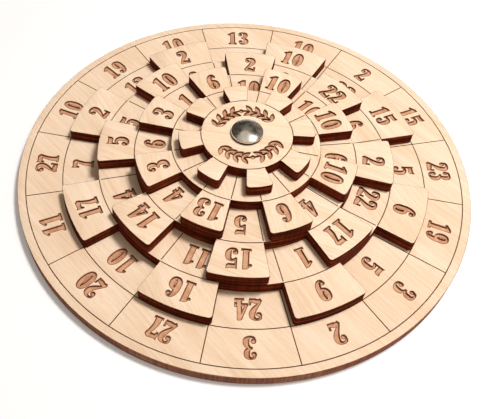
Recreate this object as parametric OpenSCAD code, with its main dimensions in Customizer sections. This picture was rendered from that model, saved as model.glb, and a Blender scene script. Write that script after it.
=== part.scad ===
// Number-ring puzzle: a round base ply and four toothed dials that turn on one
// centre post. Sixteen sectors; every second sector of a dial is a tab that
// covers one sector of the ply below, and the gaps between tabs show the rest.
// Millimetres. Z is up, the origin is the middle of the base's underside, and
// sector 0 of the base is centred on +Y. Sectors count clockwise from above.

/* [Rings] */
// Radius of the outer numbered ring, measured to its scribed circle
outer_ring_r = 72; // [60:1:90]
// Radial width of one numbered ring
ring_w = 12; // [9:0.5:13]
// Width of the plain rim outside the outer numbered ring
rim_w = 2.7; // [1.5:0.1:5]

/* [Plies] */
// Thickness of the base ply
base_t = 4.0; // [3:0.1:6]
// Thickness of each dial's ply
dial_t = 4.0; // [3:0.1:5]
// Air gap between one ply and the next
ply_gap = 0.1; // [0.05:0.05:0.3]

/* [Dials] */
// Root radius of the top dial, where its gaps end
top_root_r = 14.6; // [12:0.1:16]
// Tip radius of the top dial's short tabs
top_tip_r = 21.7; // [19:0.1:23]
// Radius of a tab's two outer corners
tab_corner_r = 1.0; // [0.4:0.1:1.6]
// How far the outer dial is turned from the base's sectors, in degrees
outer_turn = -0.8; // [-11:0.1:11]
// How far the second dial is turned
second_turn = 4.3; // [-11:0.1:11]
// How far the third dial is turned
third_turn = 1.6; // [-11:0.1:11]
// How far the top dial is turned
top_turn = -8.8; // [-11:0.1:11]

/* [Scribed lines] */
// Width of a scribed line
line_w = 0.35; // [0.2:0.05:0.6]
// Depth of a scribed line
line_depth = 0.2; // [0.1:0.05:0.4]

/* [Centre fastener] */
// Radius of the post that the dials turn on
post_r = 2.5; // [2:0.1:3]
// Radial running clearance between the post and each ply
post_clearance = 0.05; // [0.02:0.01:0.1]
// Radius of the post's domed head
head_r = 5.1; // [4:0.1:6]
// Height of the straight rim under the dome
head_rim_h = 1.0; // [0.3:0.1:1]
// Height of the dome above that rim
dome_h = 1.5; // [1:0.1:3]
// Radius of the back screw's shank
shank_r = 1.45; // [1.2:0.05:1.6]
// Clearance between the shank and the post's bore
shank_clearance = 0.05; // [0.02:0.01:0.1]
// Length of the back screw's shank
shank_l = 10; // [6:1:14]
// Radius of the back screw's flat head
screw_head_r = 4.5; // [3.8:0.1:5]
// Thickness of the back screw's head
screw_head_t = 1.0; // [0.8:0.1:1.2]
// Width of the slot in the back screw's head
slot_w = 0.9; // [0.6:0.1:1.2]
// Depth of that slot
slot_depth = 0.6; // [0.4:0.1:0.7]
// Radius of the washer under the back screw's head
washer_r = 5.0; // [4.6:0.1:5.2]
// Thickness of the washer
washer_t = 0.5; // [0.3:0.1:0.6]
// Radius of the recess in the base's underside
recess_r = 5.5; // [5.3:0.1:7]
// Depth of the recess
recess_depth = 1.8; // [1.7:0.1:2]

/* [Hidden] */
$fn = 96;
sectors = 16;
sector_a = 360 / sectors;
corner_steps = 5;
eps = 0.01;

// Radii of the rings: each dial's tabs reach the ring outside its own.
base_r = outer_ring_r + rim_w;
outer_tip_r = outer_ring_r - ring_w;
outer_root_r = outer_tip_r - ring_w;
second_root_r = outer_root_r - ring_w;
third_root_r = second_root_r - ring_w;

// Heights of the undersides, from the base up.
pitch = dial_t + ply_gap;
outer_z = base_t + ply_gap;
second_z = outer_z + pitch;
third_z = second_z + pitch;
top_z = third_z + pitch;
head_z = top_z + pitch;

bore_r = post_r + post_clearance;
washer_z = recess_depth - washer_t;
screw_head_z = washer_z - screw_head_t;
dome_sphere_r = (head_r * head_r + dome_h * dome_h) / (2 * dome_h);
ply_colour = [0.98, 0.86, 0.73];
metal_colour = [0.72, 0.71, 0.69];

// The point at radius r whose bearing, clockwise from +Y, is a.
function bearing_point(r, a) = [r * sin(a), r * cos(a)];

// The clockwise side of the gap between two tabs, from radius inner_r outwards:
// straight along the tab's radial side, then round the tab's corner, and out.
function gap_side(inner_r, tip_r) =
    let (
        centre_r = tip_r - tab_corner_r,
        half_a = sector_a / 2,
        corner_a = asin(tab_corner_r / centre_r),
        centre = bearing_point(centre_r, half_a + corner_a),
        step_a = (90 + corner_a) / corner_steps
    )
    concat(
        [bearing_point(inner_r, half_a)],
        [for (i = [0 : corner_steps - 1])
            centre + bearing_point(tab_corner_r, half_a - 90 + i * step_a)],
        [bearing_point(tip_r + tab_corner_r / 2, half_a + corner_a)],
        [bearing_point(2 * tip_r, half_a + corner_a)]
    );

// The gap between two tabs, centred on +Y: it ends at the root circle.
module gap_outline(root_r, tip_r) {
    side = gap_side(root_r / 2, tip_r);
    last = len(side) - 1;
    difference() {
        polygon(concat(side, [for (i = [last : -1 : 0]) [-side[i][0], side[i][1]]]));
        circle(r = root_r);
    }
}

// A radial line from one radius to another along the edge of sector k.
module scribed_radius(k, from_r, to_r) {
    rotate([0, 0, -(k + 0.5) * sector_a])
        translate([-line_w / 2, from_r, 0])
            cube([line_w, to_r - from_r, line_depth + eps]);
}

// A circle scribed round the centre.
module scribed_circle(r) {
    difference() {
        cylinder(r = r + line_w / 2, h = line_depth + eps);
        translate([0, 0, -eps])
            cylinder(r = r - line_w / 2, h = line_depth + 3 * eps);
    }
}

// One ply with gaps between its tabs, the first gap on sector first_gap.
// inner_r is where its scribed cells end: no cells where it equals root_r.
module dial_ply(root_r, tip_r, inner_r, first_gap) {
    difference() {
        cylinder(r = tip_r, h = dial_t);
        for (k = [first_gap : 2 : sectors - 1])
            rotate([0, 0, -k * sector_a])
                translate([0, 0, -1])
                    linear_extrude(height = dial_t + 2)
                        gap_outline(root_r, tip_r);
        translate([0, 0, -1])
            cylinder(r = bore_r, h = dial_t + 2);
        translate([0, 0, dial_t - line_depth]) {
            scribed_circle(root_r);
            if (inner_r < root_r)
                for (k = [0 : sectors - 1])
                    scribed_radius(k, inner_r, root_r);
        }
    }
}

// Bottom ply: two numbered rings, a recess for the back screw's head.
module base_disc() {
    color(ply_colour)
        difference() {
            cylinder(r = base_r, h = base_t);
            translate([0, 0, -1])
                cylinder(r = bore_r, h = base_t + 2);
            translate([0, 0, -1])
                cylinder(r = recess_r, h = recess_depth + 1);
            translate([0, 0, base_t - line_depth]) {
                scribed_circle(outer_ring_r);
                scribed_circle(outer_tip_r);
                for (k = [0 : sectors - 1])
                    scribed_radius(k, outer_root_r, outer_ring_r);
            }
        }
}

// Largest dial: its tabs cover the base's inner numbered ring.
module outer_dial() {
    color(ply_colour)
        translate([0, 0, outer_z])
            rotate([0, 0, -outer_turn])
                dial_ply(outer_root_r, outer_tip_r, second_root_r, 0);
}

// Second dial.
module second_dial() {
    color(ply_colour)
        translate([0, 0, second_z])
            rotate([0, 0, -second_turn])
                dial_ply(second_root_r, outer_root_r, third_root_r, 1);
}

// Third dial: its inner cells are blank.
module third_dial() {
    color(ply_colour)
        translate([0, 0, third_z])
            rotate([0, 0, -third_turn])
                dial_ply(third_root_r, second_root_r, top_root_r, 0);
}

// Smallest dial, with short blank tabs that select a column.
module top_dial() {
    color(ply_colour)
        translate([0, 0, top_z])
            rotate([0, 0, -top_turn])
                dial_ply(top_root_r, top_tip_r, top_root_r, 1);
}

// Barrel with a domed head, bored from below for the back screw.
module centre_post() {
    color(metal_colour)
        difference() {
            union() {
                translate([0, 0, washer_z])
                    cylinder(r = post_r, h = head_z - washer_z + eps);
                translate([0, 0, head_z])
                    cylinder(r = head_r, h = head_rim_h);
                translate([0, 0, head_z + head_rim_h])
                    intersection() {
                        translate([0, 0, dome_h - dome_sphere_r])
                            sphere(r = dome_sphere_r);
                        cylinder(r = head_r + 1, h = dome_h + 1);
                    }
            }
            translate([0, 0, washer_z - 1])
                cylinder(r = shank_r + shank_clearance, h = shank_l + 2);
        }
}

// Plain washer between the base's recess and the back screw's head.
module back_washer() {
    color(metal_colour)
        translate([0, 0, washer_z])
            difference() {
                cylinder(r = washer_r, h = washer_t);
                translate([0, 0, -1])
                    cylinder(r = bore_r, h = washer_t + 2);
            }
}

// Slotted flat-head screw that closes the stack from below.
module back_screw() {
    color(metal_colour)
        difference() {
            union() {
                translate([0, 0, screw_head_z])
                    cylinder(r = screw_head_r, h = screw_head_t);
                translate([0, 0, screw_head_z])
                    cylinder(r = shank_r, h = screw_head_t + shank_l);
            }
            translate([-screw_head_r - 1, -slot_w / 2, screw_head_z - 1])
                cube([2 * screw_head_r + 2, slot_w, slot_depth + 1]);
        }
}

base_disc();
outer_dial();
second_dial();
third_dial();
top_dial();
centre_post();
back_washer();
back_screw();
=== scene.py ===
# %% [markdown]
# # A number-ring puzzle in laser-cut plywood
# A round base ply carries four toothed dials that turn on one metal post. Every number,
# scribed line and burnt edge comes from the same machine, a laser, so most of this lesson
# is about one thing: how to cut a flat sheet with many fine outlines and keep it a closed
# solid. The CAD model fixes each ply's place and size, and this script dresses it.
# %% The frame
import math

import bpy
import numpy as np
from mathutils import Matrix, Vector
from mathutils.geometry import delaunay_2d_cdt


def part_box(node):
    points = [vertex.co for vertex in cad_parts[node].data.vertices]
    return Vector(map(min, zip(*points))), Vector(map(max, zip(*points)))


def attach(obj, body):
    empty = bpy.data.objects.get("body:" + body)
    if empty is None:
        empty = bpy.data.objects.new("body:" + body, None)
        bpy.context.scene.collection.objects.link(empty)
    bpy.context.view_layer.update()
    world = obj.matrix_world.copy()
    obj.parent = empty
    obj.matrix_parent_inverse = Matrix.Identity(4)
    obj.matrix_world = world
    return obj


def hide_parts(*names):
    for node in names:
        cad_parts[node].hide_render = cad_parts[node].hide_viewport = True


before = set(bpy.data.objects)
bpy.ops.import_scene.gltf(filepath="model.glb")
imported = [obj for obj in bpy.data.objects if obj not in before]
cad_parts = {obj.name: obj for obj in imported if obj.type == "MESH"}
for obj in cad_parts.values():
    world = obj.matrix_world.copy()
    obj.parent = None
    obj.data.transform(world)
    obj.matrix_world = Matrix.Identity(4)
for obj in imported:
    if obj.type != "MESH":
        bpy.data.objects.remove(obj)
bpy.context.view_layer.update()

# %% [markdown]
# ## The camera
# The lens looks down on the disc at just over fifty degrees, with a small lens shift
# because the disc sits right of the lens axis. A camera can be aimed with a constraint,
# but a constraint would fight the other views, so its matrix is worked out once: three
# axes (right, up, back) and a place.
# %% Camera
SENSOR_W = 36.0
FOCAL_IN_WIDTHS = 1.3786  # focal length as a share of the sensor's width
LENS_SHIFT = 0.12
AIM = np.array([-0.01753, -0.0182, 0.004])
DISTANCE = 0.2204
AZIMUTH, ELEVATION, ROLL = np.radians([-0.3, 53.61, -1.41])


def aimed_matrix(aim, distance, azimuth, elevation, roll):
    """Camera matrix from where it looks. Back is the unit vector from the aim to the lens,
    right is level, up is back cross right, and roll turns right and up about back."""
    back = np.array([
        math.sin(azimuth) * math.cos(elevation),
        -math.cos(azimuth) * math.cos(elevation),
        math.sin(elevation),
    ])
    level = np.array([math.cos(azimuth), math.sin(azimuth), 0.0])
    lift = np.cross(back, level)
    right = math.cos(roll) * level - math.sin(roll) * lift
    up = math.sin(roll) * level + math.cos(roll) * lift
    columns = np.eye(4)
    columns[:3, 0], columns[:3, 1], columns[:3, 2] = right, up, back
    columns[:3, 3] = aim + back * distance
    return Matrix(columns.tolist())


lens = bpy.data.cameras.new("viewer")
lens.sensor_width = SENSOR_W
lens.lens = SENSOR_W * FOCAL_IN_WIDTHS
lens.shift_x = LENS_SHIFT
lens.clip_start, lens.clip_end = 0.01, 20.0
camera = bpy.data.objects.new("viewer", lens)
camera.matrix_world = aimed_matrix(AIM, DISTANCE, AZIMUTH, ELEVATION, ROLL)
bpy.context.scene.collection.objects.link(camera)
bpy.context.scene.camera = camera
print("lens", round(lens.lens, 1), "mm, camera at", [round(v, 3) for v in camera.location])

# %% [markdown]
# ## Sizes of the plies
# A ply's height comes from its CAD box, and its tips' radius from the point of the CAD
# mesh that lies furthest from the axis. Flat work is easier to read in millimetres, so
# outlines are drawn in millimetres and turned into metres when the mesh is made. Sectors
# count clockwise, so angles here are bearings: clockwise from +Y, like a compass.
# %% Plies
MM = 0.001
SECTORS = 16
SECTOR = 360 / SECTORS
RING = 12.0
BORE_R = 2.55
POST_R = 2.5
RECESS_R, RECESS_DEPTH = 5.5, 1.8
TOP_ROOT_R = 14.6
TAB_CORNER_R = 1.0
EDGE_ROUND = 0.12
TURNS = {"outer_dial": -0.8, "second_dial": 4.3, "third_dial": 1.6, "top_dial": -8.8}


def furthest_radius(node):
    """Largest distance of a CAD node's points from the Z axis, in millimetres."""
    points = np.empty(len(node.data.vertices) * 3)
    node.data.vertices.foreach_get("co", points)
    return float(np.hypot(points[0::3], points[1::3]).max() / MM)


def heights(node_name):
    """Underside and top of a CAD node, in millimetres."""
    low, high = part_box(node_name)
    return low[2] / MM, high[2] / MM


plies = ["base_disc", "outer_dial", "second_dial", "third_dial", "top_dial"]
tip_r = {name: furthest_radius(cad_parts[name]) for name in plies}
root_r = {
    "outer_dial": tip_r["second_dial"],
    "second_dial": tip_r["third_dial"],
    "third_dial": tip_r["third_dial"] - RING,
    "top_dial": TOP_ROOT_R,
}
for name in plies:
    print(name, "z", [round(z, 2) for z in heights(name)], "mm, radius", round(tip_r[name], 2))

# %% [markdown]
# ## Flat outlines
# Every outline is an array of points, one row each, made by formula. A circle is an arc of
# a full turn. A toothed ply is one tab and one gap, written once and repeated by rotation,
# which is how a laser file is drawn too. A drawn tab also keeps its two round corners.
# %% Arcs and the toothed outline
ARC_STEP = 1.25
RIM_STEPS = 360
CORNER_STEPS = 7


def at_bearing(radius, bearing):
    """Points at a radius and a bearing: x is radius times sine, y is radius times cosine."""
    radius, angle = np.broadcast_arrays(np.asarray(radius, float), np.radians(bearing))
    return np.stack([radius * np.sin(angle), radius * np.cos(angle)], axis=-1)


def turned(points, degrees):
    """Points turned clockwise about the axis."""
    c, s = math.cos(math.radians(degrees)), math.sin(math.radians(degrees))
    return points @ np.array([[c, -s], [s, c]])


def arc(radius, start, stop, step=ARC_STEP):
    """Points along an arc at a constant radius, both ends included."""
    count = max(2, int(round(abs(stop - start) / step)) + 1)
    return at_bearing(radius, np.linspace(start, stop, count))


def circle(radius, count):
    """A closed circle, clockwise, without a repeated last point."""
    return at_bearing(radius, np.arange(count) * 360.0 / count)


def toothed_outline(root, tip, first_tab, turn):
    """One period is a gap's root arc, a tab's side, its corner, its tip arc, the other
    corner; eight periods, each turned by two sectors, close the outline clockwise."""
    half = SECTOR / 2
    centre_r = tip - TAB_CORNER_R
    lean = math.degrees(math.asin(TAB_CORNER_R / centre_r))
    sweep = np.linspace(0, 90 + lean, CORNER_STEPS)
    corner = at_bearing(centre_r, half - lean) + at_bearing(TAB_CORNER_R, half - lean + sweep)
    period = np.concatenate([
        arc(root, -half - SECTOR, -half),
        (corner * [-1, 1])[::-1],
        arc(tip, lean - half, half - lean)[1:-1],
        corner,
    ])
    starts = (first_tab + np.arange(0, SECTORS, 2)) * SECTOR + turn
    return np.concatenate([turned(period, start) for start in starts])


def miters(loop):
    """For a clockwise loop, the outward step at each point that moves both neighbouring
    edges out by one: the sum of the two edge normals over one plus their dot product."""
    edge = np.roll(loop, -1, axis=0) - loop
    normal = np.stack([-edge[:, 1], edge[:, 0]], axis=1)
    normal /= np.linalg.norm(normal, axis=1, keepdims=True)
    before = np.roll(normal, 1, axis=0)
    return (before + normal) / (1 + (before * normal).sum(axis=1, keepdims=True))


outlines = {"base_disc": circle(tip_r["base_disc"], RIM_STEPS)}
for name, first_tab in zip(plies[1:], (1, 0, 1, 0)):
    outlines[name] = toothed_outline(root_r[name], tip_r[name], first_tab, TURNS[name])
print({name: len(loop) for name, loop in outlines.items()}, "outline points")

# %% [markdown]
# ## Drawing the digits
# The numbers are fat slab digits with thin slits for their counters. A font could draw
# them, but a digit built from strokes teaches more and can be cut exactly where it is
# wanted. A stroke is a curve with a width: its outline is the curve pushed out to both
# sides. Each digit is a few strokes, balls and slabs that may overlap, and its slits are
# marked as holes. Digits are one unit high and about half a unit wide.
# %% Strokes, balls and slabs
OVAL_POWER = 0.9


def smooth(values, samples):
    """A Catmull-Rom curve through rows of values: each span blends four neighbours by
    cubic weights, so the curve passes through every row."""
    values = np.asarray(values, float)
    padded = np.concatenate([2 * values[:1] - values[1:2], values, 2 * values[-1:] - values[-2:-1]])
    t = np.linspace(0, 1, samples, endpoint=False)[:, None]
    weights = np.concatenate(
        [-t + 2 * t**2 - t**3, 2 - 5 * t**2 + 3 * t**3, t + 4 * t**2 - 3 * t**3, t**3 - t**2], axis=1
    ) / 2
    spans = np.stack([padded[i : len(padded) - 3 + i] for i in range(4)], axis=1)
    curve = np.einsum("tk,skd->std", weights, spans).reshape(-1, values.shape[1])
    return np.concatenate([curve, values[-1:]])


def stroke(*rows, samples=5):
    """A brush stroke from rows of x, y and width: both sides lie half a width from the
    curve, along its normal."""
    curve = smooth(rows, samples)
    along = np.gradient(curve[:, :2], axis=0)
    along /= np.linalg.norm(along, axis=1, keepdims=True)
    side = np.stack([-along[:, 1], along[:, 0]], axis=1) * curve[:, 2:] / 2
    return np.concatenate([curve[:, :2] + side, (curve[:, :2] - side)[::-1]])


def oval(x, y, rx, ry, count=28):
    """A slightly squared oval: cosine and sine raised to a power below one, signs kept."""
    angle = np.arange(count) * 2 * np.pi / count
    c, s = np.cos(angle), np.sin(angle)
    ways = np.stack([c, s], axis=1)
    return np.array([x, y]) + np.sign(ways) * np.abs(ways) ** OVAL_POWER * [rx, ry]


def slab(*corners):
    """A straight-sided shape from its corners."""
    return np.array(corners, float)


print("a stroke of 3 rows has", len(stroke((0, 0, 1), (0, 1, 1), (0, 2, 1))), "outline points")

# %% [markdown]
# ## The ten digits
# Each digit is drawn once, in its own unit frame, with x to the right and y up. A fat
# stem, thin slab feet and balls at the ends of curves give the look of old slab type. A
# nine is a six turned upside down.
# %% Draw the ten digits
solid = {
    "0": [oval(0.265, 0.5, 0.255, 0.5, 40)],
    "1": [
        slab((0.15, 0.03), (0.37, 0.03), (0.37, 1.0), (0.26, 0.985), (0.15, 0.91)),
        stroke((0.26, 0.945, 0.09), (0.15, 0.87, 0.08), (0.06, 0.8, 0.05)),
        oval(0.065, 0.8, 0.048, 0.048, 12),
        slab((0.06, 0.0), (0.45, 0.0), (0.45, 0.075), (0.06, 0.075)),
    ],
    "2": [
        oval(0.14, 0.735, 0.09, 0.085, 16),
        stroke(
            (0.07, 0.745, 0.06), (0.1, 0.92, 0.07), (0.26, 0.968, 0.075), (0.41, 0.87, 0.18),
            (0.42, 0.69, 0.22), (0.32, 0.48, 0.17), (0.17, 0.29, 0.1), (0.07, 0.13, 0.07),
        ),
        stroke(
            (0.04, 0.05, 0.1), (0.16, 0.12, 0.17), (0.31, 0.1, 0.19), (0.44, 0.08, 0.13),
            (0.5, 0.1, 0.06),
        ),
        slab((0.455, 0.0), (0.5, 0.0), (0.53, 0.29), (0.485, 0.29)),
    ],
    "3": [
        oval(0.125, 0.785, 0.08, 0.078, 16),
        stroke(
            (0.065, 0.8, 0.05), (0.12, 0.94, 0.06), (0.26, 0.972, 0.06), (0.4, 0.88, 0.18),
            (0.4, 0.68, 0.19), (0.3, 0.55, 0.08), (0.2, 0.53, 0.05),
        ),
        stroke(
            (0.2, 0.53, 0.05), (0.32, 0.49, 0.1), (0.425, 0.35, 0.2), (0.41, 0.15, 0.2),
            (0.27, 0.03, 0.06), (0.12, 0.06, 0.06), (0.06, 0.2, 0.05),
        ),
        oval(0.13, 0.225, 0.088, 0.085, 16),
    ],
    "4": [
        slab((0.27, 0.02), (0.45, 0.02), (0.45, 1.0), (0.34, 1.0), (0.27, 0.93)),
        slab((0.3, 0.97), (0.02, 0.31), (0.02, 0.25), (0.09, 0.25), (0.38, 0.95)),
        slab((0.02, 0.24), (0.54, 0.24), (0.54, 0.32), (0.02, 0.32)),
        slab((0.5, 0.19), (0.55, 0.19), (0.55, 0.37), (0.5, 0.37)),
        slab((0.18, 0.0), (0.54, 0.0), (0.54, 0.072), (0.18, 0.072)),
    ],
    "5": [
        slab(
            (0.07, 1.0), (0.07, 0.79), (0.4, 0.79), (0.47, 0.85), (0.48, 1.0),
            (0.435, 1.0), (0.38, 0.965), (0.12, 0.965),
        ),
        slab((0.07, 0.5), (0.115, 0.5), (0.115, 0.82), (0.07, 0.82)),
        stroke(
            (0.09, 0.5, 0.04), (0.17, 0.585, 0.08), (0.3, 0.6, 0.1), (0.41, 0.48, 0.2),
            (0.42, 0.25, 0.21), (0.35, 0.09, 0.12), (0.24, 0.03, 0.06), (0.11, 0.065, 0.06),
            (0.06, 0.19, 0.05),
        ),
        oval(0.13, 0.215, 0.088, 0.082, 16),
    ],
    "6": [
        oval(0.27, 0.3, 0.25, 0.3, 36),
        stroke(
            (0.14, 0.3, 0.2), (0.135, 0.55, 0.22), (0.2, 0.83, 0.17), (0.3, 0.955, 0.07),
            (0.4, 0.94, 0.05), (0.455, 0.84, 0.05),
        ),
        oval(0.4, 0.815, 0.08, 0.075, 16),
    ],
    "7": [
        slab(
            (0.03, 1.0), (0.03, 0.7), (0.075, 0.7), (0.11, 0.8), (0.49, 0.79),
            (0.5, 0.9), (0.4, 0.985), (0.08, 0.96),
        ),
        stroke((0.42, 0.84, 0.12), (0.34, 0.62, 0.15), (0.26, 0.35, 0.2), (0.25, 0.03, 0.22)),
        slab((0.07, 0.0), (0.43, 0.0), (0.43, 0.07), (0.07, 0.07)),
    ],
    "8": [oval(0.265, 0.755, 0.21, 0.245, 32), oval(0.265, 0.28, 0.25, 0.28, 36)],
}
slits = {
    "0": [oval(0.265, 0.5, 0.042, 0.36, 24)],
    "6": [oval(0.28, 0.29, 0.042, 0.2, 20)],
    "8": [oval(0.265, 0.77, 0.035, 0.13, 16), oval(0.265, 0.28, 0.042, 0.16, 16)],
}
UPSIDE_DOWN = np.array([0.53, 1.0])
solid["9"] = [UPSIDE_DOWN - shape for shape in solid["6"]]
slits["9"] = [UPSIDE_DOWN - shape for shape in slits["6"]]
print("digits drawn:", "".join(sorted(solid)))

# %% [markdown]
# ## Placing the numbers
# A number is centred in its cell with its top towards the rim. Its own x axis runs
# clockwise round the ring and its own y axis runs outwards, so one small frame of two
# unit vectors places it at any bearing. In the table below, each row is one ring of a
# ply: its place counted in ring widths, its first sector, the step from one numbered
# sector to the next, and the numbers, clockwise. One way of turning the dials makes all
# sixteen columns add up to forty.
# %% Numbers on the rings
DIGIT_H = 6.9
DIGIT_STEP = 0.585
DIGIT_W = 0.53
RING_CENTRE_DROP = 0.4
NUMBERS = {
    "base_disc": [
        (5.5, 0, 1, [13, 10, 2, 15, 23, 19, 3, 2, 3, 27, 20, 11, 27, 10, 19, 10]),
        (4.5, 0, 1, [10, 9, 22, 9, 5, 10, 5, 1, 24, 2, 10, 9, 7, 3, 12, 24]),
    ],
    "outer_dial": [
        (4.5, 1, 2, [10, 15, 6, 9, 16, 17, 2, 2]),
        (3.5, 0, 1, [24, 8, 3, 6, 15, 22, 6, 1, 1, 11, 27, 4, 5, 5, 7, 8]),
    ],
    "second_dial": [
        (3.5, 0, 2, [2, 22, 2, 17, 15, 14, 5, 10]),
        (2.5, 0, 1, [10, 3, 10, 8, 6, 13, 4, 9, 5, 10, 4, 11, 6, 7, 1, 13]),
    ],
    "third_dial": [(2.5, 1, 2, [10, 10, 10, 6, 13, 3, 3, 6])],
}


def number_shapes(number, ring_position, bearing):
    """The shapes of one number on the ply: each digit's points are shifted along the text,
    scaled to millimetres and laid along the clockwise and outward directions."""
    text = str(number)
    width = DIGIT_STEP * (len(text) - 1) + DIGIT_W
    clockwise, outward = at_bearing(1.0, bearing + 90), at_bearing(1.0, bearing)
    centre = outward * (ring_position * RING - RING_CENTRE_DROP)
    placed = []
    for place, digit in enumerate(text):
        for shapes, is_solid in ((solid[digit], True), (slits.get(digit, []), False)):
            for shape in shapes:
                x = (shape[:, :1] + place * DIGIT_STEP - width / 2) * DIGIT_H
                y = (shape[:, 1:] - 0.5) * DIGIT_H
                placed.append((centre + x * clockwise + y * outward, is_solid))
    return placed


def ply_numbers(name):
    """All numbers of a ply, each a list of its shapes."""
    found = []
    for ring_position, first, step, values in NUMBERS.get(name, []):
        for count, value in enumerate(values):
            bearing = (first + count * step) * SECTOR + TURNS.get(name, 0.0)
            found.append(number_shapes(value, ring_position, bearing))
    return found


carvings = {name: ply_numbers(name) for name in plies}
print({name: len(items) for name, items in carvings.items()}, "numbers on each ply")

# %% [markdown]
# ## The ornament on the smallest dial
# The middle of the top ply carries two engraved laurel sprays, above and below the post.
# A leaf is two arcs that meet in points. Leaves stand in pairs on a thin stem and lean
# towards the middle of their spray, where a berry sits. They are cut in the same way as a
# digit, so they join the same list.
# %% Laurel sprays
STEM_R, STEM_W = 9.9, 0.34
SPRAY_HALF = 64.0
LEAF_PAIRS = 4
MIDDLE_GAP = 6.0
BERRY_R = 0.62
LEAF_L, LEAF_W, LEAF_LEAN = 3.2, 1.25, 45.0


def ring_band(radius, width, start, stop):
    """A closed strip along an arc: out along the larger radius, back along the smaller."""
    outer = arc(radius + width / 2, start, stop, 1.0)
    inner = arc(radius - width / 2, start, stop, 1.0)
    return np.concatenate([outer, inner[::-1]])


def leaf(root, direction):
    """One leaf from its root along a unit vector: half the width falls off as one minus the
    square of the distance from the middle, so both ends come to a point."""
    t = np.linspace(-1, 1, 13)
    right_side = np.stack([LEAF_W / 2 * (1 - t**2), LEAF_L * (t + 1) / 2], axis=1)
    loop = np.concatenate([right_side, (right_side * [-1, 1])[::-1][1:-1]])
    across = np.array([direction[1], -direction[0]])
    return [(root + loop[:, :1] * across + loop[:, 1:] * direction, True)]


def spray(middle):
    """A stem, its pairs of leaves on both halves, and a berry at the middle."""
    stem = ring_band(STEM_R, STEM_W, middle - SPRAY_HALF, middle + SPRAY_HALF)
    berry = at_bearing(STEM_R, middle) + circle(BERRY_R, 16)
    items = [[(stem, True)], [(berry, True)]]
    lean = math.radians(LEAF_LEAN)
    pair_step = (SPRAY_HALF - MIDDLE_GAP) / LEAF_PAIRS
    for half in (-1, 1):
        for pair in range(LEAF_PAIRS):
            bearing = middle + half * (SPRAY_HALF - pair * pair_step)
            along, outward = at_bearing(-half, bearing + 90), at_bearing(1.0, bearing)
            for side in (-1, 1):
                direction = math.cos(lean) * along + side * math.sin(lean) * outward
                items.append(leaf(at_bearing(STEM_R, bearing), direction))
    return items


for spray_middle in (0, 180):
    carvings["top_dial"] += spray(spray_middle + TURNS["top_dial"])
print(len(carvings["top_dial"]), "shapes in the two sprays")

# %% [markdown]
# ## Scribed lines
# Each line is a narrow closed band: a strip between two radii for a ring, a thin slab for
# a sector's edge. Lines end a hair before the ply's own edge, so that no groove breaks
# through a wall and the solid stays simple.
# %% Bands for rings and sector edges
LINE_W = 0.32
LINE_GAP = 0.2
RING_STEPS = 288


def sector_band(bearing, from_r, to_r):
    """A thin slab along a radius: its sides lie half the line's width either way."""
    side = at_bearing(LINE_W / 2, bearing + 90)
    ends = at_bearing(np.array([from_r, to_r]), bearing)
    return np.concatenate([ends - side, (ends + side)[::-1]])


def scribed_bands(name):
    """A list of items like the numbers: each band is one shape that is cut."""
    turn = TURNS.get(name, 0.0)
    edges = [(k + 0.5) * SECTOR + turn for k in range(SECTORS)]
    if name == "base_disc":
        outer_ring = tip_r["outer_dial"] + RING
        bands = [(circle(radius + w, RING_STEPS), w > 0) for radius in (outer_ring, tip_r["outer_dial"])
                 for w in (LINE_W / 2, -LINE_W / 2)]
        rings = [bands[:2], bands[2:]]
        return rings + [[(sector_band(edge, root_r["outer_dial"], outer_ring), True)] for edge in edges]
    items = []
    first_tab = 1 if name in ("outer_dial", "third_dial") else 0
    inset = math.degrees(LINE_GAP / root_r[name])
    for k in range(first_tab, SECTORS, 2):
        middle = k * SECTOR + turn
        half = SECTOR / 2 - inset
        items.append([(ring_band(root_r[name], LINE_W, middle - half, middle + half), True)])
    if name != "top_dial":
        inner = {
            "outer_dial": tip_r["third_dial"],
            "second_dial": root_r["third_dial"],
            "third_dial": TOP_ROOT_R,
        }
        outer = root_r[name] - LINE_W - LINE_GAP
        items += [[(sector_band(edge, inner[name], outer), True)] for edge in edges]
    return items


scribes = {name: scribed_bands(name) for name in plies}
print({name: len(items) for name, items in scribes.items()}, "scribed items")

# %% [markdown]
# ## Filling outlines with triangles
# To engrave a flat face, all its outlines go into one constrained Delaunay triangulation.
# It keeps every outline as edges and fills the rest with triangles. A boolean modifier
# could cut the same pockets, but it is slow, and fragile with so many digits that nearly
# touch. Points closer together than the weld distance count as one.
# %% Triangulate
WELD = 1e-5


def triangulate(loops):
    """Constrained Delaunay triangulation of closed loops: points, triangles, and for each
    input point the number of the output point that stands for it."""
    points = np.concatenate(loops)
    starts = np.cumsum([0] + [len(loop) for loop in loops])
    edges = np.concatenate([
        np.stack([np.arange(a, b), np.roll(np.arange(a, b), -1)], axis=1)
        for a, b in zip(starts[:-1], starts[1:])
    ])
    made, _, faces, origin, _, _ = delaunay_2d_cdt(
        [Vector(p) for p in points.tolist()], edges.tolist(), [], 0, WELD, True
    )
    stands_for = np.empty(len(points), int)
    for new, olds in enumerate(origin):
        stands_for[olds] = new
    return np.array([tuple(v) for v in made]), np.array(faces), stands_for


square = slab((0, 0), (1, 0), (1, 1), (0, 1))
print("a square is", len(triangulate([square])[1]), "triangles")

# %% [markdown]
# ## Which level a triangle is at
# Each triangle of a ply's top is at one of four levels: the face itself, the scorched
# band round a digit, a scribed groove, or a digit's pocket. The winding number tells
# which: how often an outline goes round the triangle's middle. It also works where the
# shapes of a digit overlap, so they never have to be merged first.
# %% Windings and levels


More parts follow.
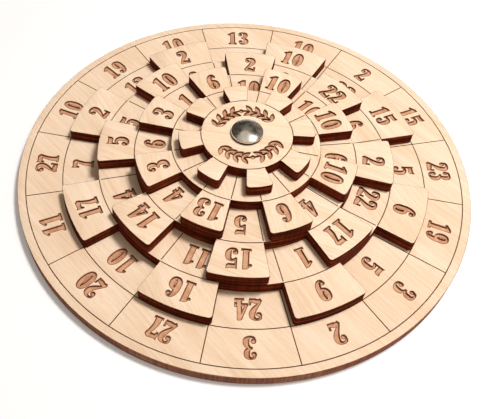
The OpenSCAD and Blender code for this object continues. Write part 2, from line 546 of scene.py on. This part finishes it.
def winding(loop, points):
    """How often a loop goes round each point: edges that cross the point's level upwards
    on its left count plus one, and downwards minus one. All points at once."""
    start, stop = loop[:, None, :], np.roll(loop, -1, axis=0)[:, None, :]
    rises = (start[..., 1] <= points[:, 1]) & (stop[..., 1] > points[:, 1])
    falls = (start[..., 1] > points[:, 1]) & (stop[..., 1] <= points[:, 1])
    run, reach = stop - start, points - start
    left = run[..., 0] * reach[..., 1] - run[..., 1] * reach[..., 0]
    return ((rises & (left > 0)).astype(int) - (falls & (left < 0))).sum(axis=0)


def loop_sign(loop):
    """One for a counter-clockwise loop and minus one for a clockwise one: the sign of its
    area by the shoelace formula."""
    x, y = loop.T
    return 1 if (x * np.roll(y, -1) - np.roll(x, -1) * y).sum() > 0 else -1


def levels_of(middles, levels):
    """Level number of each triangle from its middle: the last level whose items hold it.
    An item holds a point that one of its solid shapes goes round and no slit does. A slit
    counts only in its own direction, because a slit shrunk past its width turns over."""
    found = np.zeros(len(middles), int)
    for level, items in enumerate(levels, start=1):
        for shapes in items:
            corners = np.concatenate([shape for shape, _ in shapes])
            near = ((middles > corners.min(axis=0)) & (middles < corners.max(axis=0))).all(axis=1)
            near = np.flatnonzero(near)
            held = np.zeros(len(near), bool)
            for shape, is_solid in shapes:
                times_round = winding(shape, middles[near])
                if is_solid:
                    held |= times_round != 0
                else:
                    held &= times_round * loop_sign(shape) <= 0
            found[near[held]] = level
    return found


print("times round its own middle:", winding(square, square.mean(axis=0)[None])[0])

# %% [markdown]
# ## Walls between the levels
# The triangles of each level move down to its height, which leaves them apart. Where two
# neighbours differ in level, small upright walls join them, one for each level crossed,
# so that corners where three levels meet still close. Neighbours are found by sorting
# all sides of all triangles, because a shared side then comes up twice in a row.
# %% A stepped face


def stepped_face(rim, hole, levels, heights_mm, faces_up):
    """A flat face between a rim and a hole, cut into levels at the given heights. Returns
    points, triangles, walls (as quads), each face's level, and the rim's and hole's points."""
    shapes = [shape for items in levels for item in items for shape, _ in item]
    flat, tris, stands_for = triangulate([rim, hole] + shapes)
    middles = flat[tris].mean(axis=1)
    kept = (winding(rim, middles) != 0) & (winding(hole, middles) == 0)
    tris, level = tris[kept], levels_of(middles[kept], levels)
    count, floors = len(flat), len(heights_mm)
    points = np.concatenate([np.column_stack([flat, np.full(count, z)]) for z in heights_mm])
    first, second, third = flat[tris].transpose(1, 0, 2)
    area = np.cross(second - first, third - first)
    tris = np.where((area > 0)[:, None], tris, tris[:, ::-1])
    stepped = tris + level[:, None] * count
    sides = np.concatenate([tris[:, [0, 1]], tris[:, [1, 2]], tris[:, [2, 0]]])
    owner = np.tile(np.arange(len(tris)), 3)
    key = np.sort(sides, axis=1) @ [count, 1]
    order = np.argsort(key, kind="stable")
    pairs = np.flatnonzero(key[order][1:] == key[order][:-1])
    one, two = order[pairs], order[pairs + 1]
    differ = level[owner[one]] != level[owner[two]]
    one, two = one[differ], two[differ]
    level_one, level_two = level[owner[one]], level[owner[two]]
    a, b = sides[one].T
    walls, wall_level = [], []
    for step in range(floors - 1):
        crossed = (np.minimum(level_one, level_two) <= step) & (np.maximum(level_one, level_two) > step)
        here = (step + (level_one > level_two)[crossed]) * count
        there = (step + (level_one < level_two)[crossed]) * count
        start, stop = a[crossed], b[crossed]
        walls.append(np.stack([stop + here, start + here, start + there, stop + there], axis=1))
        wall_level.append(np.maximum(level_one, level_two)[crossed])
    walls = np.concatenate(walls + [np.empty((0, 4), int)])
    wall_level = np.concatenate(wall_level + [[]])
    if not faces_up:
        stepped, walls = stepped[:, ::-1], walls[:, ::-1]
    rim_ids = stands_for[: len(rim)]
    hole_ids = stands_for[len(rim) : len(rim) + len(hole)]
    return points, stepped, walls, level, wall_level, rim_ids, hole_ids


plain = stepped_face(circle(3, 24), circle(1, 12), [[]], [0, 1], True)
print("a plain ring is", len(plain[1]), "triangles and", len(plain[2]), "walls")

# %% [markdown]
# ## Scorched bands
# The beam's heat darkens the wood in a thin band round each carving. The band is the
# carving's own outline pushed outwards, and a slit's outline pushed inwards, so it needs
# no drawing of its own. It lies a hair lower than the face, which keeps the two apart.
# %% Grow the outlines
SCORCH_W, SCORCH_DEPTH = 0.23, 0.02
MITER_CAP = 2.0


def grown(loop, amount):
    """A closed loop pushed outwards by an amount along its miters, which are capped so
    that sharp corners stay short. The sign of the loop's area says which side is out."""
    out = -loop_sign(loop) * miters(loop)
    length = np.linalg.norm(out, axis=1, keepdims=True)
    return loop + amount * out * np.minimum(1, MITER_CAP / length)


def scorch_round(items):
    """The thin band that the beam scorches round a carving: solids grow and slits shrink."""
    return [[(grown(shape, SCORCH_W if is_solid else -SCORCH_W), is_solid) for shape, is_solid in item]
            for item in items]


print("a unit square grown by one is", np.ptp(grown(square, 1.0), axis=0), "wide and high")

# %% [markdown]
# ## From outlines to a closed ply
# The top and the underside are stepped faces. Between them runs the cut edge: a small
# profile, round at both ends, carried along the outline. Each point of the outline moves
# outwards along its miter, so a tab's straight side stays straight. The bore's wall joins
# the two faces in the middle. A bevel modifier would round the edge too, but it would
# also catch the rims of the engraving.
# %% One closed ply
LINE_DEPTH, POCKET_DEPTH = 0.3, 0.55
BORE_STEPS, RECESS_STEPS = 48, 72
SKIN, SCORCHED, SCRIBED, POCKET, BURNT, POCKET_WALL = range(6)


def strip(upper, lower, outwards):
    """Quads between two closed loops of the same length, one for each pair of points."""
    quads = np.stack([upper, np.roll(upper, -1), np.roll(lower, -1), lower], axis=1)
    return quads if outwards else quads[:, ::-1]


def edge_profile(z0, z1):
    """Outward offsets and heights down the cut edge: a quarter circle, a straight drop and
    another quarter circle. The first and last rows lie on the two faces."""
    sweep = np.linspace(0, 90, 3)
    offset = EDGE_ROUND * (np.sin(np.radians(sweep)) - 1)
    drop = EDGE_ROUND * (1 - np.cos(np.radians(sweep)))
    return np.concatenate([offset, offset[::-1]]), np.concatenate([z1 - drop, (z0 + drop)[::-1]])


def ply_mesh(rim, z0, z1, scribed, carved, recess):
    """A closed ply: top face, underside, cut edge and bore wall in one set of arrays, and
    what the laser did to each face."""
    out = miters(rim)
    inner_rim = rim - EDGE_ROUND * out
    bore = circle(BORE_R, BORE_STEPS)
    top_levels = [z1, z1 - SCORCH_DEPTH, z1 - LINE_DEPTH, z1 - POCKET_DEPTH]
    top = stepped_face(inner_rim, bore, [scorch_round(carved), scribed, carved], top_levels, True)
    under_items = [[[(circle(RECESS_R, RECESS_STEPS), True)]]] if recess else [[]]
    under = stepped_face(inner_rim, bore, under_items, [z0, z0 + RECESS_DEPTH], False)
    shift = len(top[0])
    offsets, levels = edge_profile(z0, z1)
    rings = [
        np.column_stack([rim + offset * out, np.full(len(rim), z)])
        for offset, z in zip(offsets[1:-1], levels[1:-1])
    ]
    points = np.concatenate([top[0], under[0]] + rings)
    ring_start = shift + len(under[0])
    ring_ids = [ring_start + i * len(rim) + np.arange(len(rim)) for i in range(len(rings))]
    chain = [top[5]] + ring_ids + [under[5] + shift]
    under_bore = under[6] + shift + (len(under[0]) // 2 if recess else 0)
    edges = [strip(a, b, True) for a, b in zip(chain[:-1], chain[1:])]
    edges.append(strip(top[6], under_bore, False))
    edges = np.concatenate(edges)
    wall_kind = np.where(top[4] == POCKET, POCKET_WALL, top[4])
    triangles = np.concatenate([top[1], under[1] + shift])
    quads = np.concatenate([top[2], under[2] + shift, edges])
    kind = np.concatenate([
        top[3], np.where(under[3] > 0, POCKET, SKIN), wall_kind,
        np.full(len(under[2]), BURNT), np.full(len(edges), BURNT),
    ])
    return points, triangles, quads, kind


print("rows of points down the cut edge:", len(edge_profile(0, 4)[0]))

# %% [markdown]
# ## The five plies as objects
# Each ply becomes one mesh. Four numbers on every face store what the laser did there,
# so one material can tell pale skin, scorched band, groove, pocket and burnt edge apart
# without any painted map. A closed piece has exactly two faces at every edge, and that
# is counted here.
# %% Build the five plies
SHARP_ANGLE = 30


def closed_object(name, points_mm, triangles, quads):
    """A mesh object from arrays: unused points are dropped and places become metres."""
    used, packed = np.unique(np.concatenate([triangles.ravel(), quads.ravel()]), return_inverse=True)
    split = triangles.size
    faces = packed[:split].reshape(-1, 3).tolist() + packed[split:].reshape(-1, 4).tolist()
    mesh = bpy.data.meshes.new(name)
    mesh.from_pydata((points_mm[used] * MM).tolist(), [], faces)
    mesh.polygons.foreach_set("use_smooth", np.ones(len(faces), bool))
    mesh.set_sharp_from_angle(angle=math.radians(SHARP_ANGLE))
    piece = bpy.data.objects.new(name, mesh)
    bpy.context.scene.collection.objects.link(piece)
    return piece


def open_edges(mesh):
    """Number of edges that don't have exactly two faces."""
    ends = np.empty(len(mesh.loops), int)
    mesh.loops.foreach_get("edge_index", ends)
    return int((np.bincount(ends, minlength=len(mesh.edges)) != 2).sum())


ply_pieces = {}
for name in plies:
    z0, z1 = heights(name)
    recess = name == "base_disc"
    arrays = ply_mesh(outlines[name], z0, z1, scribes[name], carvings[name], recess)
    piece = closed_object(name.replace("disc", "ply").replace("dial", "ply"), *arrays[:3])
    for label, kinds in (("scorched", (SCORCHED,)), ("scribed", (SCRIBED,)), ("pocket", (POCKET,)),
                         ("burnt", (BURNT, POCKET_WALL))):
        values = np.isin(arrays[3], kinds).astype(np.float32)
        piece.data.attributes.new(label, "FLOAT", "FACE").data.foreach_set("value", values)
    ply_pieces[name] = piece
    print(piece.name, len(piece.data.polygons), "faces,", open_edges(piece.data), "open edges")

# %% [markdown]
# ## The post and its domed head
# The post is turned metal, so it is a lathe shape: one profile carried round the axis.
# The profile starts on the axis at the top of the dome, goes down the outside, and comes
# back up the bore, so the surface closes on itself. The dome is a flat cap of a large
# sphere whose edge is rolled over. A mask marks the rim below the roll and the head's
# underside for painted shade, a dark brown that stands for the shadow in the gap under
# the head, so the head gets a thin bright line above a dark one.
# %% Turn the post
DOME_H, ROLL_H, RIM_H = 1.22, 0.5, 0.78
ROLL_W, FOOT_W, FOOT_H = 0.2, 0.25, 0.35
SCREW_BORE_R, SCREW_BORE_TOP = 1.5, 12.3


def lathe(name, profile, shaded_rows, steps=96):
    """Carries a profile of radius and height round the Z axis: x is radius times sine of
    the turn and y is radius times cosine. Both ends of the profile lie on the axis. Bands
    of the profile that start at one of the given rows get one in the painted-shade mask attribute."""
    profile = np.asarray(profile, float)
    spun = at_bearing(profile[1:-1, :1], (np.arange(steps) * 360.0 / steps)[None, :])
    rise = np.repeat(profile[1:-1, 1:], steps, axis=1)[..., None]
    rings = np.concatenate([spun, rise], axis=2).reshape(-1, 3)
    points = np.concatenate([rings, [[0, 0, profile[0, 1]], [0, 0, profile[-1, 1]]]])
    rows = len(profile) - 2
    grid = np.arange(rows * steps).reshape(rows, steps)
    quads = np.concatenate([strip(grid[i], grid[i + 1], True) for i in range(rows - 1)])
    first, last = grid[0], grid[-1]
    cap = np.stack([np.full(steps, rows * steps), np.roll(first, -1), first], axis=1)
    floor = np.stack([np.full(steps, rows * steps + 1), last, np.roll(last, -1)], axis=1)
    piece = closed_object(name, points, np.concatenate([cap, floor]), quads)
    # This mask marks the bands that get painted shade.
    band = np.repeat(np.isin(np.arange(1, rows), shaded_rows), steps)
    mask = np.concatenate([np.zeros(2 * steps), band]).astype(np.float32)
    piece.data.attributes.new("rim_shade", "FLOAT", "FACE").data.foreach_set("value", mask)
    return piece


head_r = furthest_radius(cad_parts["centre_post"])
post_bottom, post_top = heights("centre_post")
head_z = post_top - DOME_H - ROLL_H - RIM_H
dome_r = head_r - ROLL_W
sphere_r = (dome_r**2 + DOME_H**2) / (2 * DOME_H)
fall = np.linspace(0, math.asin(dome_r / sphere_r), 25)
dome = np.column_stack([sphere_r * np.sin(fall), post_top - sphere_r * (1 - np.cos(fall))])
bend = np.radians([30, 50, 70, 90])
roll = np.column_stack([dome_r + ROLL_W * np.sin(bend), head_z + RIM_H + ROLL_H * np.cos(bend)])
rim_and_shank = [
    (head_r, head_z + FOOT_H), (head_r - FOOT_W, head_z), (POST_R, head_z), (POST_R, post_bottom),
    (SCREW_BORE_R, post_bottom), (SCREW_BORE_R, SCREW_BORE_TOP), (0, SCREW_BORE_TOP),
]
# The rim, its foot and the head's underside get painted shade through the mask.
rim_rows = len(dome) + len(roll) - 1 + np.arange(3)
post = lathe("domed_post", np.concatenate([dome, roll, rim_and_shank]), rim_rows)
print("post", len(post.data.polygons), "faces,", open_edges(post.data), "open edges")

# %% [markdown]
# ## Shader helpers
# A node tree is easier to read when a node and its inputs are made in one line. The helper
# below takes plain values for constants and sockets for links, so the wiring of a material
# reads from top to bottom like a recipe. Noise lies mostly between 0.3 and 0.7, so it is
# often stretched from such a span to the one that is wanted.
# %% Node helpers


def feed(tree, target, value):
    """Gives an input its value: a link from a socket, or else a constant."""
    if isinstance(value, bpy.types.NodeSocket):
        tree.links.new(value, target)
    else:
        target.default_value = value


def add(tree, kind, _settings=None, **inputs):
    """Adds a node. Settings are its own options; inputs are sockets to link or constants,
    by name, or by number as in_0. Returns the node."""
    made = tree.nodes.new(kind)
    for key, value in (_settings or {}).items():
        setattr(made, key, value)
    for key, value in inputs.items():
        label = int(key[3:]) if key.startswith("in_") else key.replace("_", " ")
        feed(tree, made.inputs[label], value)
    return made


def math_of(tree, operation, a, b=0.0):
    """The result of a Math node."""
    return add(tree, "ShaderNodeMath", {"operation": operation}, in_0=a, in_1=b).outputs[0]


def blend_of(tree, share, a, b):
    """Colour a turned towards colour b by a share."""
    mix = add(tree, "ShaderNodeMix", {"data_type": "RGBA"}, in_0=share, in_6=a, in_7=b)
    return mix.outputs[2]


def span_of(tree, value, low, high, to_low=0.0, to_high=1.0):
    """A value mapped from one span to another, and held inside it."""
    made = add(tree, "ShaderNodeMapRange", None, in_0=value, in_1=low, in_2=high,
               in_3=to_low, in_4=to_high)
    return made.outputs[0]


def noise_of(tree, vector, stretch, detail=3.0, roughness=0.5):
    """Noise with its own scale along each axis, in features per metre."""
    scaled = add(tree, "ShaderNodeMapping", None, Vector=vector, Scale=stretch)
    made = add(tree, "ShaderNodeTexNoise", None, Vector=scaled.outputs[0], Scale=1.0,
               Detail=detail, Roughness=roughness)
    return made.outputs[0]


def new_group(name, inputs, outputs):
    """An empty shader group with typed sockets: a dictionary of names to socket types."""
    tree = bpy.data.node_groups.new(name, "ShaderNodeTree")
    for sockets, way in ((inputs, "INPUT"), (outputs, "OUTPUT")):
        for label, kind in sockets.items():
            tree.interface.new_socket(label, in_out=way, socket_type="NodeSocket" + kind)
    return tree, tree.nodes.new("NodeGroupInput").outputs, tree.nodes.new("NodeGroupOutput").inputs


def place_group(tree, group, **inputs):
    """Puts a group into a tree with its own values and returns its outputs."""
    made = tree.nodes.new("ShaderNodeGroup")
    made.node_tree = group
    for key, value in inputs.items():
        feed(tree, made.inputs[key.replace("_", " ")], value)
    return made.outputs


print("node helpers ready")

# %% [markdown]
# ## Plywood
# The face veneer is pale and close-grained: soft streaks along the grain, a few fine
# flecks, and slow patches of warmer wood. All are noise, squeezed hard along one axis and
# turned to the grain's direction. The group gives a colour and a height for a Bump node,
# and it is used by every ply with its own angle.
# %% Face veneer group
FLECK = (0.55, 0.3, 0.15, 1)
FLECK_SHARE = 0.22
veneer, v_in, v_out = new_group(
    "face_veneer",
    {"Vector": "Vector", "Grain Angle": "Float", "Light": "Color", "Dark": "Color"},
    {"Colour": "Color", "Height": "Float"},
)
grain = add(veneer, "ShaderNodeVectorRotate", {"rotation_type": "Z_AXIS"},
            Vector=v_in["Vector"], Angle=v_in["Grain Angle"]).outputs[0]
streaks = noise_of(veneer, grain, (45, 1100, 500), 4.0, 0.7)
patches = noise_of(veneer, grain, (28, 110, 110), 3.0)
flecks = noise_of(veneer, grain, (520, 4200, 2000), 2.0, 0.4)
fleck_mask = span_of(veneer, flecks, 0.6, 0.72)
pores = noise_of(veneer, grain, (900, 9000, 4000), 1.0)
tone = math_of(veneer, "ADD", span_of(veneer, streaks, 0.38, 0.68, 0.0, 0.6),
               span_of(veneer, patches, 0.35, 0.65, 0.0, 0.45))
figured = blend_of(veneer, tone, v_in["Light"], v_in["Dark"])
flecked = blend_of(veneer, math_of(veneer, "MULTIPLY", fleck_mask, FLECK_SHARE), figured, FLECK)
veneer.links.new(flecked, v_out["Colour"])
relief = math_of(veneer, "SUBTRACT", span_of(veneer, pores, 0.3, 0.7, 0.0, 0.4), fleck_mask)
veneer.links.new(math_of(veneer, "ADD", relief, streaks), v_out["Height"])
print("veneer group:", len(veneer.nodes), "nodes")

# %% [markdown]
# ## What the laser leaves
# A through cut chars the ply's edge nearly black, with a reddish brown glue line between
# veneers and fine upright marks of the beam. A shallow pass leaves a salmon floor in a
# digit and a thin brown line on a ring, and its heat toasts the skin round a digit. Four
# masks on the faces say which is which.
# %% Laser group
CINDER = (0.012, 0.004, 0.002, 1)
TOASTED = (0.13, 0.028, 0.008, 1)
PALE_FLOOR, DARK_FLOOR = (0.76, 0.43, 0.26, 1), (0.51, 0.235, 0.12, 1)
DARK_LINE, PALE_LINE = (0.1, 0.034, 0.01, 1), (0.22, 0.09, 0.03, 1)
laser, l_in, l_out = new_group(
    "laser_marks",
    {"Wood": "Color", "Vector": "Vector", "Burnt": "Float", "Pocket": "Float", "Scribed": "Float",
     "Scorched": "Float", "Char": "Color", "Ember": "Color"},
    {"Colour": "Color", "Height": "Float", "Roughness": "Float"},
)
layers = noise_of(laser, l_in["Vector"], (40, 40, 1100), 2.0)
beam = noise_of(laser, l_in["Vector"], (1500, 1500, 60), 3.0)
soot = noise_of(laser, l_in["Vector"], (160, 160, 160), 3.0)
glowed = span_of(laser, layers, 0.42, 0.66)
swept = span_of(laser, soot, 0.3, 0.7, 0.35, 1.0)
edge = blend_of(laser, math_of(laser, "MULTIPLY", glowed, swept), l_in["Char"], l_in["Ember"])
edge = blend_of(laser, span_of(laser, beam, 0.4, 0.65, 0.0, 0.4), edge, CINDER)
floor_tone = noise_of(laser, l_in["Vector"], (420, 420, 420), 3.0)
floor = blend_of(laser, span_of(laser, floor_tone, 0.3, 0.7), PALE_FLOOR, DARK_FLOOR)
line = blend_of(laser, span_of(laser, soot, 0.3, 0.7), DARK_LINE, PALE_LINE)
toast = blend_of(laser, span_of(laser, soot, 0.3, 0.7, 0.8, 1.0), l_in["Wood"], TOASTED)
marked = blend_of(laser, l_in["Scorched"], l_in["Wood"], toast)
marked = blend_of(laser, l_in["Pocket"], marked, floor)
marked = blend_of(laser, l_in["Scribed"], marked, line)
marked = blend_of(laser, l_in["Burnt"], marked, edge)
laser.links.new(marked, l_out["Colour"])
laser.links.new(math_of(laser, "MULTIPLY", l_in["Burnt"], beam), l_out["Height"])
sheen = span_of(laser, soot, 0.3, 0.7, 0.5, 0.62)
dulled = math_of(laser, "MULTIPLY", l_in["Burnt"], 0.3)
laser.links.new(math_of(laser, "ADD", sheen, dulled), l_out["Roughness"])
print("laser group:", len(laser.nodes), "nodes")

# %% [markdown]
# ## One material for each ply
# Each ply has its own grain direction, so it gets its own material, made by one function.
# The dials' cut edges are burnt nearly black, and the base's is a paler brown. Wood this
# dry hardly shines, so its specular level is low.
# %% Ply materials
LIGHT_WOOD = (0.95, 0.765, 0.588, 1)
DARK_WOOD = (0.8, 0.558, 0.375, 1)
DIAL_CHAR, DIAL_EMBER = (0.08, 0.0085, 0.0022, 1), (0.3, 0.055, 0.017, 1)
BASE_CHAR, BASE_EMBER = (0.27, 0.095, 0.055, 1), (0.45, 0.22, 0.14, 1)
PLY_SHINE = 0.06
PLY_BUMP, PLY_BUMP_DEPTH = 0.12, 0.0002
grain_angles = {"base_disc": 48, "outer_dial": 62, "second_dial": 25, "third_dial": 80, "top_dial": 10}


def ply_material(name, grain_angle, char, ember):
    """Veneer and laser marks in one Principled shader, with both heights in one bump."""
    material = bpy.data.materials.new(name)
    material.use_nodes = True
    tree = material.node_tree
    shader = tree.nodes["Principled BSDF"]
    place = add(tree, "ShaderNodeTexCoord").outputs["Object"]
    masks = {label: add(tree, "ShaderNodeAttribute", {"attribute_name": label}).outputs["Fac"]
             for label in ("burnt", "pocket", "scribed", "scorched")}
    wood = place_group(tree, veneer, Vector=place, Grain_Angle=math.radians(grain_angle),
                       Light=LIGHT_WOOD, Dark=DARK_WOOD)
    marks = place_group(tree, laser, Wood=wood["Colour"], Vector=place, Burnt=masks["burnt"],
                        Pocket=masks["pocket"], Scribed=masks["scribed"], Scorched=masks["scorched"],
                        Char=char, Ember=ember)
    height = math_of(tree, "ADD", wood["Height"], marks["Height"])
    bump = add(tree, "ShaderNodeBump", None, Height=height, Strength=PLY_BUMP, Distance=PLY_BUMP_DEPTH)
    tree.links.new(marks["Colour"], shader.inputs["Base Color"])
    tree.links.new(marks["Roughness"], shader.inputs["Roughness"])
    tree.links.new(bump.outputs[0], shader.inputs["Normal"])
    shader.inputs["Specular IOR Level"].default_value = PLY_SHINE
    return material


for name, piece in ply_pieces.items():
    burn = (BASE_CHAR, BASE_EMBER) if name == "base_disc" else (DIAL_CHAR, DIAL_EMBER)
    piece.data.materials.append(ply_material("ply_" + name, grain_angles[name], *burn))
    print(piece.name, "grain at", grain_angles[name], "degrees")

# %% [markdown]
# ## Metal
# The dome is polished, and hairlines and smudges soften what it mirrors. Its rim takes
# a dark brown from a mask: painted shade for the gap under the head. The washer and screw
# underneath are plain turned steel.
# Both metals read the same group, which gives a roughness and a height from fine noise,
# with different strengths.
# %% Metal group and materials
# The last colour here is painted shade: the dark brown of the shadow in the gap under the dome's head.
NICKEL, STEEL, PAINTED_RIM_SHADE = (0.74, 0.7, 0.64, 1), (0.56, 0.55, 0.53, 1), (0.045, 0.022, 0.012, 1)
SCRATCH_DEPTH = 0.00005
wear, w_in, w_out = new_group(
    "metal_wear",
    {"Vector": "Vector", "Low": "Float", "High": "Float"},
    {"Roughness": "Float", "Height": "Float"},
)
hairlines = noise_of(wear, w_in["Vector"], (9000, 700, 700), 2.0)
smudges = noise_of(wear, w_in["Vector"], (450, 450, 450), 3.0)
worn = math_of(wear, "MULTIPLY", hairlines, smudges)
wear.links.new(span_of(wear, worn, 0.12, 0.4, w_in["Low"], w_in["High"]), w_out["Roughness"])
wear.links.new(worn, w_out["Height"])


def metal_material(name, colour, low, high, bump_strength):
    """A metal whose roughness runs between two values and follows the wear group. Faces
    with the mask attribute get a dark brown painted shade."""
    material = bpy.data.materials.new(name)
    material.use_nodes = True
    tree = material.node_tree
    shader = tree.nodes["Principled BSDF"]
    place = add(tree, "ShaderNodeTexCoord").outputs["Object"]
    worn_by = place_group(tree, wear, Vector=place, Low=low, High=high)
    bump = add(tree, "ShaderNodeBump", None, Height=worn_by["Height"], Strength=bump_strength,
               Distance=SCRATCH_DEPTH)
    # The mask paints the rim dark brown as shade under the head.
    rim_shade = add(tree, "ShaderNodeAttribute", {"attribute_name": "rim_shade"}).outputs["Fac"]
    tree.links.new(blend_of(tree, rim_shade, colour, PAINTED_RIM_SHADE), shader.inputs["Base Color"])
    shader.inputs["Metallic"].default_value = 1.0
    tree.links.new(worn_by["Roughness"], shader.inputs["Roughness"])
    tree.links.new(bump.outputs[0], shader.inputs["Normal"])
    return material


nickel = metal_material("polished_nickel", NICKEL, low=0.15, high=0.3, bump_strength=0.1)
steel = metal_material("plain_steel", STEEL, low=0.25, high=0.45, bump_strength=0.4)
post.data.materials.append(nickel)
for name in ("back_washer", "back_screw"):
    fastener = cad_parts[name].data
    fastener.materials.clear()
    fastener.materials.append(steel)
print("metal materials:", nickel.name, steel.name)

# %% [markdown]
# ## Who rides on what
# Every piece moves with one CAD body and stands for one CAD node. The base and the post
# stay still, and each dial turns by itself.
# %% Ride and replace
bodies = {
    "base_disc": "base",
    "outer_dial": "outer",
    "second_dial": "second",
    "third_dial": "third",
    "top_dial": "top",
}
for name, piece in ply_pieces.items():
    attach(piece, bodies[name])
    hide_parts(name)
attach(post, "base")
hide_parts("centre_post")
print("pieces:", [piece.name for piece in ply_pieces.values()] + [post.name])

# %% [markdown]
# ## The table
# A wide pale sheet carries the disc. It glows more the further it is from the disc, so it
# stays pale where no lamp reaches. It lies a hair below the disc, because two faces at the
# same height would flicker through each other.
# %% Table
SHEET_HALF, SHEET_GAP = 3.0, 0.00002
SHEET_ROUGH = 0.8
SHEET_PALE, SHEET_SHADE = (0.92, 0.93, 0.955, 1), (0.9, 0.91, 0.935, 1)
BLACK, WHITE = (0.0, 0.0, 0.0, 1), (1.0, 1.0, 1.0, 1)
GLOW_FROM, GLOW_TO = 0.12, 0.7
GLOW_NEAR, GLOW_FAR = 0.14, 0.9

sheet_mesh = bpy.data.meshes.new("table")
corners = [(SHEET_HALF * x, SHEET_HALF * y, -SHEET_GAP) for x, y in ((-1, -1), (1, -1), (1, 1), (-1, 1))]
sheet_mesh.from_pydata(corners, [], [(0, 1, 2, 3)])
sheet = bpy.data.objects.new("table", sheet_mesh)
bpy.context.scene.collection.objects.link(sheet)

paper = bpy.data.materials.new("table")
paper.use_nodes = True
paper_tree = paper.node_tree
paper_shader = paper_tree.nodes["Principled BSDF"]
paper_place = add(paper_tree, "ShaderNodeTexCoord").outputs["Object"]
paper_colour = blend_of(paper_tree, noise_of(paper_tree, paper_place, (3, 3, 3)), SHEET_PALE, SHEET_SHADE)
away = add(paper_tree, "ShaderNodeVectorMath", {"operation": "LENGTH"}, in_0=paper_place).outputs["Value"]
paper_glow = span_of(paper_tree, away, GLOW_FROM, GLOW_TO, GLOW_NEAR, GLOW_FAR)
paper_tree.links.new(paper_colour, paper_shader.inputs["Base Color"])
paper_tree.links.new(blend_of(paper_tree, paper_glow, BLACK, WHITE), paper_shader.inputs["Emission Color"])
paper_shader.inputs["Emission Strength"].default_value = 1.0
paper_shader.inputs["Roughness"].default_value = SHEET_ROUGH
sheet_mesh.materials.append(paper)
print("table", 2 * SHEET_HALF, "m wide")

# %% [markdown]
# ## Lamps and room
# A small lamp hangs close above the disc's right side, so the tabs throw short, crisp
# shadows to the left. The dome would mirror it as a second bright spot, so it is hidden
# from reflections, and a weaker lamp further right gives the dome its one white patch. A
# wide warm lamp far above and a dim warm room, brighter towards the front right, fill the
# shadows.
# The lens itself sees plain white behind the table.
# %% Lamps and room
WARM_WHITE, LAMP_WHITE, WARM = (1.0, 0.98, 0.955), (1.0, 0.985, 0.965), (1.0, 0.91, 0.79)
ROOM_WARM = (1.0, 0.87, 0.73, 1)
ROOM_BRIGHT_SIDE = (0.75, -0.5, 0.4)
ROOM_DIM, ROOM_LIT = 0.03, 0.32
SHAPE_DIM, SHAPE_LIT = 0.25, 1.9
BACKDROP = 0.97


def soft_lamp(name, place, size, power, colour):
    """A square area lamp at a place, turned to face the origin. Returns the lamp."""
    data = bpy.data.lights.new(name, "AREA")
    data.shape, data.size, data.energy, data.color = "SQUARE", size, power, colour
    lamp = bpy.data.objects.new(name, data)
    lamp.location = place
    lamp.rotation_euler = (-Vector(place)).to_track_quat("-Z", "Y").to_euler()
    bpy.context.scene.collection.objects.link(lamp)
    return lamp


key = soft_lamp("key", place=(0.14, 0.03, 0.46), size=0.09, power=1.84, colour=WARM_WHITE)
key.visible_glossy = False
soft_lamp("window", place=(0.19, 0.01, 0.46), size=0.21, power=0.3, colour=LAMP_WHITE)
soft_lamp("ceiling", place=(-0.1, 0.1, 2.0), size=1.8, power=4.5, colour=WARM)

world = bpy.data.worlds.new("room")
bpy.context.scene.world = world
world.use_nodes = True
room = world.node_tree
background = room.nodes["Background"]
facing = add(room, "ShaderNodeTexCoord").outputs["Generated"]
towards = add(room, "ShaderNodeVectorMath", {"operation": "DOT_PRODUCT"}, in_0=facing,
              in_1=ROOM_BRIGHT_SIDE)
glow = span_of(room, towards.outputs["Value"], -0.6, 0.9, ROOM_DIM, ROOM_LIT)
blotches = noise_of(room, facing, (3.4, 3.4, 2.2), 1.5)
shapes = span_of(room, blotches, 0.38, 0.62, SHAPE_DIM, SHAPE_LIT)
direct = add(room, "ShaderNodeLightPath").outputs["Is Camera Ray"]
lit = math_of(room, "MULTIPLY", glow, shapes)
unseen = math_of(room, "MULTIPLY", math_of(room, "SUBTRACT", 1.0, direct), lit)
seen = math_of(room, "MULTIPLY", direct, BACKDROP)
room.links.new(blend_of(room, direct, ROOM_WARM, WHITE), background.inputs["Color"])
room.links.new(math_of(room, "ADD", seen, unseen), background.inputs["Strength"])
bpy.context.scene.view_settings.view_transform = "Standard"
